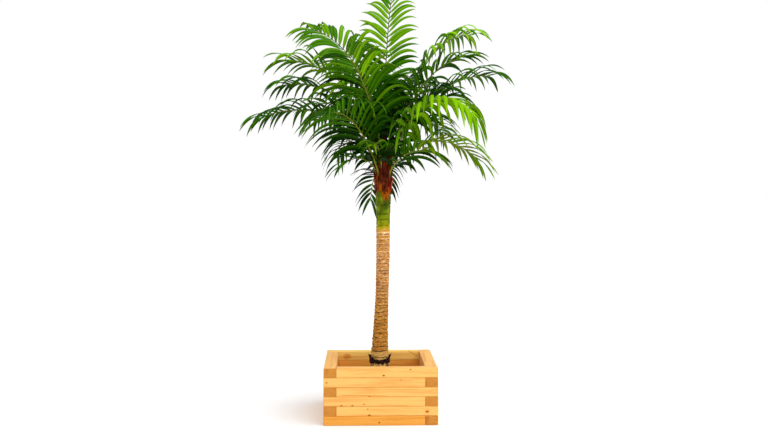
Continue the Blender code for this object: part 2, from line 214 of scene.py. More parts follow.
def addCamera():
    data = bpy.data.cameras.new("camera")
    data.sensor_width = 36.0
    data.lens = view["lens"]
    camera = bpy.data.objects.new("camera", data)
    bpy.context.scene.collection.objects.link(camera)
    yaw, pitch = math.radians(view["yaw"]), math.radians(view["pitch"])
    level = math.cos(pitch)
    looks = Vector((math.sin(yaw) * level, math.cos(yaw) * level, math.sin(pitch)))
    camera.location = view["place"]
    camera.rotation_euler = looks.to_track_quat("-Z", "Y").to_euler()
    bpy.context.scene.camera = camera


def addStage():
    reach = studio["floorReach"]
    mesh = bpy.data.meshes.new("studio_floor")
    square = ((-1, -1), (1, -1), (1, 1), (-1, 1))
    corners = [(x * reach, y * reach, -studio["floorDrop"]) for x, y in square]
    mesh.from_pydata(corners, [], [(0, 1, 2, 3)])
    finish, shader, _ = newFinish("studio_floor", {"Roughness": 0.9, "Specular IOR Level": 0.1})
    shader.inputs["Base Color"].default_value = paint(*studio["floor"])
    mesh.materials.append(finish)
    floor = bpy.data.objects.new("studio_floor", mesh)
    bpy.context.scene.collection.objects.link(floor)


def addLight():
    world = bpy.data.worlds.new("studio")
    world.use_nodes = True
    sky = world.node_tree.nodes["Background"].inputs
    looking = Wire(world.node_tree.nodes.new("ShaderNodeTexCoord").outputs["Generated"])
    overhead = between(absolute(axisOf(looking, 2)), *studio["wallTop"])
    rightward = between(axisOf(looking, 0), *studio["across"])
    left, right = [(level,) * 3 + (1.0,) for level in studio["ceiling"]]
    wall = (studio["wall"],) * 3 + (1.0,)
    mixed(overhead, wall, mixed(rightward, left, right)).into(sky["Color"])
    bpy.context.scene.world = world
    light = bpy.data.lights.new("key", "SUN")
    light.energy = studio["sun"]
    light.angle = math.radians(studio["sunAngle"])
    light.color = studio["sunTint"]
    lamp = bpy.data.objects.new("key", light)
    lamp.rotation_euler = Vector(studio["sunFrom"]).to_track_quat("Z", "Y").to_euler()
    bpy.context.scene.collection.objects.link(lamp)
    bpy.context.scene.view_settings.view_transform = "Standard"


addCamera()
addStage()
addLight()
print("camera and stage set")


# Planter timbers: rounded, slightly uneven lengths of pine
timber = {
    "edge": 0.0030,
    "cornerSteps": 4,
    "stations": 44,
    "uneven": 0.00030,
    "unevenScale": (9, 30),  # how fast that varies along a timber and round it
    "light": (246, 192, 112),
    # painted light: the top back timber is paler to stand in for light on its inner face
    "paler": (255, 220, 122),
    "darker": (224, 160, 72),
    "honey": (226, 150, 58),
    "streak": (196, 104, 22),
    "streakReach": (0.4, 2.0),  # from solid to gone, in half widths
    "streakEnds": ((-0.02, 0.15), (0.80, 1.02)),  # where it comes in and goes out, in lengths
    "endLight": (216, 150, 66),
    "endDark": (146, 74, 16),
    "knot": (88, 40, 10),
    "ring": 0.0042,  # between growth rings, along a timber and on its end
    "endRing": 0.0082,
    "pithAcross": (-0.09, 0.09),  # where the rings' middle may lie
    "pithUp": (0.035, 0.11),
    "sway": 0.030,
    "swayScale": (2.2, 9, 9),  # how fast noise varies along a timber, across it and up
    "fibreScale": (9, 330, 330),
    "flameScale": (3.4, 62, 62),
    "knotsEach": 2,  # on timbers that have none named
    "knotLimits": ((-0.25, 0.25), (-0.02, 0.02), (0.0022, 0.0055)),  # along, up and radius
    "knotHeart": 0.85,
    "seamUp": (0.0222, 0.0248),  # from its middle, where a side darkens towards a seam
    "seamAcross": (0.0318, 0.0326),
    "chamfer": ((0.0, 0.0022), (0.0005, 0.0008), (0.0018, 0.0)),  # inset along it and off each side
    "endInset": 0.006,
    # Knots: along the timber and up from its middle, radius and how dark its heart is
    "knots": {
        "timber_front_6": (
            (0.0145, -0.0135, 0.0040, 1.0),
            (0.155, 0.0180, 0.0030, 0.9),
            (0.26, 0.012, 0.0015, 0.9),
        ),
        "timber_front_5": ((-0.2836, 0.000, 0.0034, 0.9), (0.105, 0.014, 0.0022, 0.8)),
        "timber_front_4": ((-0.060, -0.0235, 0.0030, 0.9), (0.255, 0.004, 0.0018, 0.8)),
        "timber_front_3": (
            (-0.2057, -0.020, 0.0034, 0.9),
            (-0.149, -0.021, 0.0034, 0.9),
            (-0.0883, -0.013, 0.0034, 0.8),
        ),
        "timber_front_2": (
            (-0.0686, 0.012, 0.0026, 0.9),
            (-0.0608, -0.0215, 0.0040, 1.0),
            (0.242, -0.003, 0.0066, 0.86),
        ),
        "timber_front_1": ((-0.0088, -0.010, 0.0034, 1.0), (0.205, 0.015, 0.0016, 0.8)),
        "timber_back_6": ((-0.184, -0.004, 0.0110, 0.66), (0.02, 0.012, 0.0030, 0.7)),
    },
    "shades": {  # timbers that are paler or darker than the rest; the top back one's paler wood is painted light
        "timber_back_6": "paler",
        "timber_back_5": "darker",
        "timber_front_1": "darker",
    },
    # Resin streaks: along the timber and up from its middle at either end, and half width
    "streaks": {
        "timber_front_4": (
            (-0.235, -0.0150, 0.050, -0.0205, 0.0014),
            (-0.10, 0.016, 0.25, 0.013, 0.0010),
        ),
        "timber_front_3": ((-0.02, -0.0185, 0.16, -0.0225, 0.0009),),
        "timber_back_6": (
            (0.172, 0.026, 0.228, -0.006, 0.0022),
            (-0.25, -0.014, -0.12, -0.004, 0.0012),
        ),
    },
}


def streakMask(axis, streak):  # 1 along a thin line between two places of the timber's face
    fromAlong, fromUp, toAlong, toUp, half = streak
    slope = (toUp - fromUp) / (toAlong - fromAlong)
    off = absolute(axis["up"] - (axis["along"] - fromAlong) * slope - fromUp)
    solid, gone = timber["streakReach"]
    nearness = 1 - between(off, half * solid, half * gone)
    share = (axis["along"] - fromAlong) * (1 / (toAlong - fromAlong))
    fadeIn, fadeOut = timber["streakEnds"]
    return nearness * between(share, *fadeIn) * (1 - between(share, *fadeOut))


def pineFinish(name, seed, marks, lines, isEnd):  # growth rings round a pith beside the timber
    finish, shader, place = newFinish(name, {"Specular IOR Level": 0.12})
    wood = place.node("Attribute", {"attribute_name": "wood"}, {}, 1)
    axis = {key: axisOf(wood, index) for index, key in enumerate(("along", "across", "up"))}
    dice = random.Random(seed)
    pithAcross = dice.uniform(*timber["pithAcross"])
    pithUp = dice.choice((-1, 1)) * dice.uniform(*timber["pithUp"])
    shift = (dice.uniform(0, 40),) * 3
    swaying = speckle(stretched(wood, timber["swayScale"], shift), 1.0, 2.0)
    sway = (swaying - 0.5) * timber["sway"]
    across = axis["across"] - pithAcross
    up = axis["up"] - pithUp
    radius = (across * across + up * up) ** 0.5 + sway
    spots = hearts = None
    for along, rise, size, heart in marks:
        offAlong = (axis["along"] - along) * (1 / (size * 1.35))
        offUp = (axis["up"] - rise) * (1 / size)
        off = (offAlong * offAlong + offUp * offUp) ** 0.5
        near = off.node("Math", {"operation": "EXPONENT"}, {0: off * -0.55})
        radius = radius + near * (size * 0.9)
        spots = near if spots is None else spots.maths("MAXIMUM", spots, near)
        hearts = near * heart if hearts is None else hearts.maths("MAXIMUM", hearts, near * heart)
    rings = radius * (1 / timber["endRing" if isEnd else "ring"])
    bands = rings.node("Math", {"operation": "FRACT"}, {0: rings})
    late = between(bands, 0.35, 0.95) * (1 - between(bands, 0.95, 1.0))
    fibre = speckle(stretched(wood, timber["fibreScale"], shift), 1.0)
    flame = between(speckle(stretched(wood, timber["flameScale"], shift), 1.0), 0.44, 0.70)
    streak = timber["streak"]
    if isEnd:
        base = timber["endLight"]
        layers = [(late * 0.8 + fibre * 0.2, timber["endDark"])]
        layers.append((between(speckle(place, 40), 0.5, 0.7) * 0.45, timber["endDark"]))
    else:
        base = timber[timber["shades"].get(name.removesuffix("_side"), "light")]
        nearSeam = between(absolute(axis["up"]), *timber["seamUp"])
        seam = nearSeam * between(absolute(axis["across"]), *timber["seamAcross"])
        layers = [(late * 0.30 + fibre * 0.30, timber["honey"])]
        layers += [(flame * (late * 0.4 + 0.26), streak), (seam * 0.5, streak)]
    layers += [(streakMask(axis, line) * 0.8, streak) for line in lines]
    if spots is not None:
        layers.append((between(spots, 0.32, 0.58) * 0.6, streak))
        layers.append((between(hearts, 0.56, 0.72), timber["knot"]))
    layered(paint(*base), layers).into(shader.inputs["Base Color"])
    (0.46 + fibre * 0.16 + late * 0.05).into(shader.inputs["Roughness"])
    bumpInto(shader, fibre * 0.5 + late * 0.4, 0.0003, 0.6)
    return finish


def roundedOutline(wide, high, edge, steps):  # corners of a rounded rectangle, anticlockwise
    points = []
    for corner, (right, top) in enumerate(((1, 1), (-1, 1), (-1, -1), (1, -1))):
        middle = right * (wide / 2 - edge), top * (high / 2 - edge)
        for step in range(steps + 1):
            turn = math.pi / 2 * (corner + step / steps)
            points.append((middle[0] + edge * math.cos(turn), middle[1] + edge * math.sin(turn)))
    return points


def layTimber(name, look, marks, seed):
    low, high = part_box(name)
    middle, size = (low + high) / 2, high - low
    lengthwise = 0 if size.x > size.y else 1
    sideAxis, upAxis = (lengthwise + 1) % 3, (lengthwise + 2) % 3
    outline = roundedOutline(size[sideAxis], size[upAxis], look["edge"], look["cornerSteps"])
    half = size[lengthwise] / 2
    ends = [(-half + inset, shrink) for inset, shrink in look["chamfer"]]
    reach = half - look["endInset"]
    stations = ends + [(float(at), 0.0) for at in np.linspace(-reach, reach, look["stations"])]
    stations += [(-at, shrink) for at, shrink in reversed(ends)]
    points, wood = [], []
    slow, fast = look["unevenScale"]
    for at, shrink in stations:
        for wide, tall in outline:
            sample = Vector((at * slow, wide * fast + seed * 3.7, tall * fast))
            rough = (noise.noise(sample) - 1) * look["uneven"]
            scale = 1 - (shrink - rough) / (size[upAxis] / 2)
            point = [0.0, 0.0, 0.0]
            point[lengthwise] = middle[lengthwise] + at
            point[sideAxis] = middle[sideAxis] + wide * scale
            point[upAxis] = middle[upAxis] + tall * scale
            points.append(point)
            acrossAndUp = (wide, tall) if upAxis == 2 else (tall, wide)
            wood.append((middle[lengthwise] + at, *acrossAndUp))
    sides, rings = len(outline), len(stations)
    faces = closedTube(rings, sides)
    endFaces = 2 * sides
    slots = [1] * endFaces + [0] * (len(faces) - 2 * endFaces - 2) + [1] * endFaces + [1, 1]
    sideFinish = pineFinish(name + "_side", seed, marks, timber["streaks"].get(name, ()), False)
    finishes = [sideFinish, pineFinish(name + "_end", seed, (), (), True)]
    piece = addPiece(name + "_pine", points, faces, finishes, slots, smooth=35)
    layer = piece.data.attributes.new("wood", "FLOAT_VECTOR", "POINT")
    layer.data.foreach_set("vector", np.asarray(wood, float).ravel())
    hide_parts(name)


timberNames = sorted(name for name in nodes if name.startswith("timber_"))
for number, name in enumerate(timberNames):
    dice = random.Random(number + 50)
    marks = timber["knots"].get(name)
    if marks is None:
        marks = [
            (*[dice.uniform(*limits) for limits in timber["knotLimits"]], timber["knotHeart"])
            for _ in range(timber["knotsEach"])
        ]
    layTimber(name, timber, marks, number + 1)
print("planter:", len(timberNames), "timbers")

floorBoard = dict(timber, edge=0.0015, uneven=0.0004, stations=24)
boardNames = sorted(name for name in nodes if name.startswith("floor_board"))
for number, name in enumerate(boardNames):
    layTimber(name, floorBoard, (), number + 71)
print("floor boards laid:", len(boardNames))


# Nursery pot and its cement
pot = {
    "sides": 96,
    "wall": 0.0035,
    "lip": 0.009,  # height of the rolled rim, and how far it stands out
    "footRadius": 0.078,
    "hole": 0.004,  # radius of the drain hole's edge
}
cement = {
    "foot": (0.074, 0.014),  # radius, and height above the fill's underside
    "well": (0.066, 0.050),  # radii where its top ends round the trunk
    "rings": 6,
    "crown": 0.0008,  # its flat top's depth under the fill's, and at its outer edge
    "edge": 0.003,
    "rough": 0.0016,  # height of the lumps on its top
    "lumpScale": 60,
    "sink": 0.0010,
}


def turnedPiece(name, profile, sides, finish):
    points = []
    for radius, height in profile:
        for step in range(sides):
            turn = 2 * math.pi * step / sides
            points.append((radius * math.cos(turn), radius * math.sin(turn), height))
    return addPiece(name, points, closedTube(len(profile), sides), [finish], smooth=45)


def addPot():
    low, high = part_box("base_pot")
    rim, top, foot = high.x, high.z, low.z
    wall, lip, footRadius = pot["wall"], pot["lip"], pot["footRadius"]
    wallTop = rim - lip
    profile = [  # radius and height: under it, up its outside, over the rim and down inside
        (pot["hole"], foot),
        (footRadius - 0.003, foot),
        (footRadius, foot + 0.002),
        (wallTop, top - lip - 0.002),
        (rim - wall - 0.001, top - lip - 0.001),
        (rim - 0.0016, top - lip),
        (rim - 0.0006, top - lip / 2),
        (rim - 0.0016, top - 0.0008),
        (rim - 0.004, top),
        (rim - 0.0072, top - 0.001),
        (wallTop - wall, top - lip - 0.002),
        (footRadius + 0.004, foot + 0.012),
        (pot["hole"], foot + 0.011),
    ]
    finish, shader, place = newFinish("pot_black", {"Specular IOR Level": 0.45})
    scuffs = speckle(place, 60, 5.0, 0.7)
    tint = mixed(between(scuffs, 0.5, 0.8), paint(14, 14, 15), paint(52, 50, 48))
    tint.into(shader.inputs["Base Color"])
    (0.42 + scuffs * 0.25).into(shader.inputs["Roughness"])
    bumpInto(shader, speckle(place, 300, 2.0), 0.0002, 0.5)
    piece = turnedPiece("nursery_pot", profile, pot["sides"], finish)
    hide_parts("base_pot")


def addCement():
    low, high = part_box("cement_fill")
    finish, shader, place = newFinish("cement", {"Specular IOR Level": 0.2})
    grit = speckle(place, 130, 6.0, 0.65)
    tint = mixed(between(grit, 0.35, 0.7), paint(112, 104, 92), paint(186, 178, 160))
    tint.into(shader.inputs["Base Color"])
    (0.8 + grit * 0.15).into(shader.inputs["Roughness"])
    bumpInto(shader, grit, 0.0012)
    footRadius, footRise = cement["foot"]
    wellEdge, well = cement["well"]
    profile = [(pot["hole"], low.z + 0.012), (footRadius, low.z + footRise)]
    profile.append((high.x - 0.0016, high.z - cement["edge"]))
    for radius in np.linspace(high.x - 0.004, wellEdge, cement["rings"]):
        profile.append((float(radius), high.z - cement["crown"]))
    profile.append((well, high.z - 0.0012))
    piece = turnedPiece("cement_set", profile, pot["sides"], finish)
    for point in piece.data.vertices:
        if point.co.z > high.z - 0.002:
            lump = noise.noise(point.co * cement["lumpScale"]) * cement["rough"]
            point.co.z += lump - cement["sink"]
    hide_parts("cement_fill")


addPot()
addCement()
print("pot and cement made")


# Trunk, whose solid the ribs are seated on
trunkMesh = nodes["trunk"].data
trunkSolid = BVHTree.FromPolygons(
    [point.co for point in trunkMesh.vertices], [face.vertices[:] for face in trunkMesh.polygons]
)
bark = {
    # Height, lean along X and radius, as in the solid
    "line": (
        (0.2053, 0.000, 0.064),
        (0.235, 0.000, 0.062),
        (0.262, 0.000, 0.0545),
        (0.300, 0.000, 0.0490),
        (0.350, 0.001, 0.0465),
        (0.460, 0.0045, 0.0420),
        (0.630, 0.012, 0.0370),
        (0.860, 0.018, 0.0380),
        (1.035, 0.019, 0.0385),
        (1.120, 0.0195, 0.0385),
        (1.190, 0.020, 0.0425),
        (1.270, 0.020, 0.0440),
        (1.380, 0.020, 0.0490),
        (1.430, 0.020, 0.0440),
        (1.480, 0.020, 0.0310),
        (1.530, 0.020, 0.0180),
        (1.570, 0.020, 0.0080),
    ),
    "rows": 0.0026,
    "sides": 120,
    "footScar": 0.312,
    "firstScar": 0.348,
    "lastScar": 0.998,  # below the green shaft
    "greenScars": (1.035, 1.070, 1.101, 1.150),
    "topPitch": 0.05,  # above the last of those
    "pitchSpread": (0.82, 1.18),
    # Heights, and what is true there: gaps between rings, coarseness, relief and a groove's reach
    "scarPitch": ((0.35, 0.45, 0.80, 0.93, 1.01), (0.0235, 0.0185, 0.0200, 0.0245, 0.0330)),
    "coarse": ((0.35, 0.75, 1.0), (1.0, 0.65, 0.25)),
    "ridge": ((0.35, 1.0), (0.0062, 0.0026)),
    "grooveReach": ((0.40, 0.90), (0.0050, 0.0032)),
    "groove": 0.0034,
    "thin": 0.03,  # radius under which the relief fades
    "fibres": 1.205,  # height where the red fibre starts
    "fibreBlend": 0.02,
    # Parts of a ring: place between two scars, and width, as shares of the gap
    "ledge": (0.17, 0.12),
    "crack": (0.40, 0.06),
    "secondLedge": (0.54, 0.09),
    "lesserLedge": (0.86, 0.09),
    # How much each counts, and the level that the relief is reckoned from
    "weights": {"lesser": 0.5, "second": 0.55, "crack": 0.7, "swell": 0.4, "level": 0.45},
    # Noise: how fast it turns round the trunk and climbs it, its height and where it starts
    "ripples": {
        "wave": (1.2, 16, 0.0085, (0, 0)),
        "ragged": (4.0, 30, 0.0036, (3, 0)),
        "lumps": (2.2, 36, 0.0022, (0, 0)),
        "grain": (5.0, 150, 0.0014, (7, 0)),
        "ribs": (6.5, 7, 0.0020, (0, 4)),
        "threads": (19, 16, 0.0009, (0, 9)),
        "knobs": (2.5, 22, 0.0022, (1, 0)),
    },
    "tints": (  # from the trunk's foot to its head
        (0.205, (208, 186, 132)),
        (0.270, (204, 172, 104)),
        (0.338, (190, 148, 80)),
        (0.350, (198, 126, 14)),
        (0.520, (206, 132, 22)),
        (0.800, (208, 130, 42)),
        (0.960, (206, 134, 46)),
        (1.014, (204, 150, 54)),
        (1.026, (164, 150, 20)),
        (1.050, (128, 140, 5)),
        (1.100, (94, 118, 4)),
        (1.160, (72, 96, 3)),
        (1.200, (76, 80, 3)),
        (1.212, (128, 66, 5)),
        (1.250, (112, 44, 3)),
        (1.300, (84, 28, 2)),
        (1.370, (46, 14, 2)),
        (1.480, (24, 10, 2)),
    ),
    "zones": {  # heights between which each part of the finish comes in or goes out
        "sootEnds": (0.272, 0.284),
        "creamStarts": (0.27, 0.36),
        "hollowStarts": (0.335, 0.345),
        "paleStarts": (0.45, 0.80),
        "brownEnds": (0.99, 1.03),
        "greenStarts": (1.02, 1.06),
        "greenEnds": (1.18, 1.21),
        "redStarts": (1.200, 1.220),
        "emberEnds": (1.25, 1.34),
    },
    # Noise in the finish: how fast it varies, evenly or along each axis, its detail and roughness
    "grain": {
        "cloud": (22, 4.0, 0.6),
        "patch": ((70, 70, 150), 4.0, 0.65),
        "mottle": ((58, 58, 17), 4.0, 0.6),
        "threads": ((200, 200, 26), 3.0, 0.6),
        "tongues": ((38, 38, 10), 4.0, 0.6),
        "drips": ((62, 62, 14), 2.0, 0.5),
        "flecks": (105, 3.0, 0.7),
        "soot": (46, 2.0, 0.5),
        "breaks": (58, 2.0, 0.5),
    },
    "marks": {
        "umber": (146, 74, 4),
        # painted shade between the ridges
        "hollow": (110, 50, 3),
        "cream": ((246, 200, 120), (255, 224, 170)),  # painted highlight on the ridges, low and high
        "patch": ((232, 178, 88), (252, 208, 150)),
        "fleck": (72, 32, 3),
        "greenCloud": (46, 64, 2),
        "greenMottle": (152, 150, 10),
        "greenPatch": (190, 178, 50),
        "ember": (196, 104, 12),
        "redThread": (170, 54, 10),
        "redHollow": (34, 10, 2),
        "soot": (22, 16, 12),
        # the ring scars' dark line, with painted shade in their grooves
        "scar": (46, 20, 2),
    },
}
trunkHeights, trunkLeans, trunkRadii = zip(*bark["line"])


def trunkLean(height):
    return float(np.interp(height, trunkHeights, trunkLeans))


def trunkRadius(height):
    return float(np.interp(height, trunkHeights, trunkRadii))


def scarHeights():
    dice = random.Random(5)
    heights, at = [bark["footScar"]], bark["firstScar"]
    while at < bark["lastScar"]:
        heights.append(at)
        pitch = float(np.interp(at, *bark["scarPitch"]))
        at += pitch * dice.uniform(*bark["pitchSpread"])
    return heights + list(bark["greenScars"])


scars = scarHeights()


def aroundAt(turn):  # the direction out of the trunk's middle
    return Vector((math.cos(turn), math.sin(turn), 0.0))


def ripple(name, around, height):
    turns, climbs, reach, start = bark["ripples"][name]
    return noise.noise(around * turns + Vector((*start, height * climbs))) * reach


def hump(name, share):
    middle, width = bark[name]
    return math.exp(-(((share - middle) / width) ** 2))


def barkRelief(height, turn):  # outward offset, depth in a scar (its dark line and painted shade) and height of a ridge (painted highlight on it, painted shade beside it)
    around = aroundAt(turn)
    low = np.interp(height, *bark["coarse"])
    at = height + ripple("wave", around, height) * low
    at += ripple("ragged", around, height) * (0.3 + low)
    lumps = ripple("lumps", around, height) * (0.2 + low)
    grain = ripple("grain", around, height) * (0.15 + low)
    if at < scars[0] or height > bark["fibres"]:
        return lumps * 0.8 + grain * 0.6, 0.0, 0.0
    index = max(i for i, scar in enumerate(scars) if scar <= at)
    upper = scars[index + 1] if index + 1 < len(scars) else scars[index] + bark["topPitch"]
    share = (at - scars[index]) / (upper - scars[index])
    tall = np.interp(height, *bark["ridge"])
    broken = 0.60 + 0.75 * noise.noise(around * 2.6 + Vector((index * 3.1, 5, 0)))
    patchy = max(0.50 + 0.90 * noise.noise(around * 4.2 + Vector((index * 1.7, 0, 6))), 0.0)
    main = hump("ledge", share) * broken
    lesser = hump("lesserLedge", share)
    weights = bark["weights"]
    second = weights["second"] * low * hump("secondLedge", share) * patchy
    crack = weights["crack"] * low * hump("crack", share) * patchy
    swell = weights["swell"] * math.sin(math.pi * min(max(share, 0.0), 1.0))
    near = min(at - scars[index], upper - at)
    reach = np.interp(height, *bark["grooveReach"])
    depth = math.exp(-((near / reach) ** 2)) * min(1.0, 0.50 + 0.7 * broken)
    ledges = main + weights["lesser"] * lesser + swell + second
    offset = tall * (ledges - weights["level"]) + lumps + grain
    offset -= bark["groove"] * (depth * (0.5 + low) + 0.6 * crack)
    return offset, min(1.0, depth + crack), main + 0.4 * lesser + second


def fibreRelief(height, turn):  # upright ribs of torn leaf sheath
    return sum(ripple(name, aroundAt(turn), height) for name in ("ribs", "threads", "knobs"))


def barkNoise(place, name):
    scale, detail, rough = bark["grain"][name]
    if isinstance(scale, tuple):
        place, scale = stretched(place, scale), 1.0
    return speckle(place, scale, detail, rough)


def zone(height, name):
    return between(height, *bark["zones"][name])


def barkFinish():
    finish, shader, place = newFinish("trunk_bark", {"Specular IOR Level": 0.07})
    height = axisOf(place, 2)
    scar, ridge = carried(place, "scar"), carried(place, "ridge")
    grain = {name: barkNoise(place, name) for name in bark["grain"]}
    marks = bark["marks"]
    cloud, patch = grain["cloud"], grain["patch"]
    mottle, threads = grain["mottle"], grain["threads"]
    # The zones' edges are ragged, most of all where the fibre hangs over the green shaft
    ragged = between(height, 0.99, 1.03) * 0.055 + between(height, 1.12, 1.18) * 0.165
    warped = height + (grain["tongues"] - 0.5) * ragged + (grain["drips"] - 0.5) * 0.014
    lowest, highest = 0.20, 1.60
    stops = [((at - lowest) / (highest - lowest), paint(*tint)) for at, tint in bark["tints"]]
    share = (warped - lowest) * (1 / (highest - lowest))
    tint = share.node("ValToRGB", {"stops": stops}, {0: share})
    brown = 1 - zone(warped, "brownEnds")
    green = zone(warped, "greenStarts") * (1 - zone(warped, "greenEnds"))
    red = zone(warped, "redStarts")
    ember = red * (1 - zone(height, "emberEnds"))
    pale = zone(height, "paleStarts")
    # Painted shade in the hollows between the ridges
    hollow = (1 - between(ridge, 0.02, 0.30)) * zone(height, "hollowStarts")
    # Painted highlight: a cream tint on the ridges of the rings
    cream = ridge * (0.30 + between(patch, 0.30, 0.48) * 0.70) * zone(height, "creamStarts")
    flecks = between(grain["flecks"], 0.58, 0.70)
    # Dark patches on the trunk's foot, up to about the collar's lower edge
    soot = (1 - zone(height, "sootEnds")) * between(grain["soot"], 0.50, 0.56)
    broken = 0.40 + between(grain["breaks"], 0.40, 0.56) * 0.60
    ridgeHighlightTint, patchTint = [
        mixed(pale, *[paint(*tone) for tone in marks[name]]) for name in ("cream", "patch")
    ]
    tint = layered(tint, (
        (brown * between(cloud, 0.46, 0.66) * 0.60, marks["umber"]),
        (brown * hollow * (0.70 - pale * 0.40), marks["hollow"]),
    ))
    tint = mixed(brown * cream, tint, ridgeHighlightTint)
    # Pale patches: partly the bark's own mottling, partly painted highlight
    tint = mixed(brown * between(patch, 0.50, 0.68) * (0.24 + pale * 0.44), tint, patchTint)
    tint = layered(tint, (
        (brown * flecks * 0.9, marks["fleck"]),
        (green * between(cloud, 0.40, 0.66) * 0.70, marks["greenCloud"]),
        (green * between(mottle, 0.44, 0.72) * 0.70, marks["greenMottle"]),
        (green * between(patch, 0.60, 0.72) * 0.25, marks["greenPatch"]),
        (ember * between(mottle, 0.46, 0.62) * 0.8, marks["ember"]),
        (red * between(threads, 0.52, 0.68) * 0.5, marks["redThread"]),
        (red * (1 - between(threads, 0.36, 0.50)) * 0.75, marks["redHollow"]),
        (soot, marks["soot"]),
        # Each ring scar's dark line, with painted shade in its groove
        (scar * broken * (brown * 0.95 + green * 0.70), marks["scar"]),
    ))
    tint.into(shader.inputs["Base Color"])
    (0.50 + patch * 0.18 + red * 0.20).into(shader.inputs["Roughness"])
    bumpInto(shader, patch * 0.6 + threads * red * 0.8, 0.0010, 0.7)
    return finish


def addTrunk():
    rows = int((trunkHeights[-1] - trunkHeights[0]) / bark["rows"])
    heights = np.linspace(trunkHeights[0], trunkHeights[-1], rows + 1)
    fibreZone = (bark["fibres"] - bark["fibreBlend"], bark["fibres"] + bark["fibreBlend"])
    sides = bark["sides"]
    points, depths, lights = [], [], []
    for height in heights:
        radius, lean = trunkRadius(height), trunkLean(height)
        fibrous = float(np.interp(height, fibreZone, (0, 1)))
        thin = min(1.0, radius / bark["thin"])
        for step in range(sides):
            turn = 2 * math.pi * step / sides
            offset, depth, light = barkRelief(height, turn)
            offset = offset * (1 - fibrous) + fibreRelief(height, turn) * fibrous
            reach = radius + offset * thin
            points.append((lean + reach * math.cos(turn), reach * math.sin(turn), height))
            depths.append(depth)
            lights.append(light)
    carries = {"scar": depths, "ridge": lights}
    faces = closedTube(len(heights), sides)
    piece = addPiece("trunk_bark", points, faces, [barkFinish()], None, 60, carries)
    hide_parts("trunk")


addTrunk()
print("trunk:", len(scars), "rings")


# Fibre: torn strips on the trunk's head, and three loose flaps
fibre = {
    "strips": 90,
    "downward": 0.45,  # share of them that hang
    "foot": (1.205, 1.40),
    "height": (0.035, 0.10),
    "width": (0.005, 0.016),
    "thickness": 0.0012,
    "lift": 0.004,
    "rows": 12,
    "columns": 6,
    "narrow": (0.95, 0.80, 2.2),  # width at its foot, what it loses, and how late
    "tatter": 0.10,  # of its sides, as a share of its width
    "frayed": 0.006,  # of its end
    "off": 0.0008,  # the trunk
    "belly": 0.0016,
    "crease": 0.0006,
    "flapThickness": 0.002,
    "flapRows": 18,
    "flapColumns": 12,
    "flaps": (  # name, whether it is red, turn about the trunk, foot, height, width and stand-off
        ("sheath_flap_right", True, -12, 1.222, 0.074, 0.046, 0.006),
        ("sheath_flap_left", False, 190, 1.250, 0.060, 0.040, 0.005),
        ("sheath_flap_back", False, 95, 1.235, 0.070, 0.044, 0.005),
    ),
}


def fibreFinish(name, body, streak, dark):
    finish, shader, place = newFinish(name, {"Specular IOR Level": 0.07})
    threads = speckle(stretched(place, (260, 260, 26)), 1.0, 3.0, 0.6)
    cloud = speckle(place, 38, 3.0)
    tint = layered(paint(*body), (
        (between(threads, 0.48, 0.64), streak),
        ((1 - between(threads, 0.34, 0.46)) * 0.8, dark),
        (between(cloud, 0.5, 0.7) * 0.5, dark),
    ))
    tint.into(shader.inputs["Base Color"])
    (0.50 + threads * 0.3).into(shader.inputs["Roughness"])
    bumpInto(shader, threads, 0.0008, 0.8)
    return finish


def wobble(x, y, z):
    return noise.noise(Vector((x, y, z)))


def fibreTongue(turn, foot, height, width, lift, thickness, grid, seed, down=False):
    rows, columns = grid
    whole, lost, late = fibre["narrow"]
    outer, inner = [], []
    for row in range(rows):
        share = row / (rows - 1)
        loose = 1 - share if down else share
        at = foot + height * share
        narrow = whole - lost * loose**late
        for column in range(columns):
            across = column / (columns - 1) - 0.5
            tatter = fibre["tatter"] * wobble(across * 9, seed * 1.7, share * 3)
            spread = width / trunkRadius(at) * (narrow + tatter)
            angle = math.radians(turn) + spread * across
            curl = lift * loose**2 * (1 + 0.8 * wobble(seed, across * 3, share * 4))
            belly = fibre["belly"] * (0.25 - across**2) * 4 * loose
            reach = trunkRadius(at) + fibre["off"] + curl + belly
            reach += fibre["crease"] * wobble(across * 14, seed, share * 5)
            rise = at + fibre["frayed"] * wobble(across * 7, seed * 2.3, 0) * loose
            for skin, reached in ((outer, reach + thickness), (inner, reach)):
                out = trunkLean(at) + reached * math.cos(angle)
                skin.append((out, reached * math.sin(angle), rise))
    return outer + inner


def tongueFaces(grid, first):  # both skins and the edge between them
    rows, columns = grid
    count = rows * columns
    faces = []
    for row in range(rows - 1):
        for column in range(columns - 1):
            here = first + row * columns + column
            quad = (here, here + 1, here + columns + 1, here + columns)
            faces.append(quad)
            faces.append(tuple(index + count for index in quad[::-1]))
    edge = list(range(columns))
    edge += [row * columns + columns - 1 for row in range(1, rows)]
    edge += [(rows - 1) * columns + column for column in range(columns - 2, -1, -1)]
    edge += [row * columns for row in range(rows - 2, 0, -1)]
    for here, after in zip(edge, edge[1:] + edge[:1]):
        faces.append((first + after, first + here, first + here + count, first + after + count))
    return faces


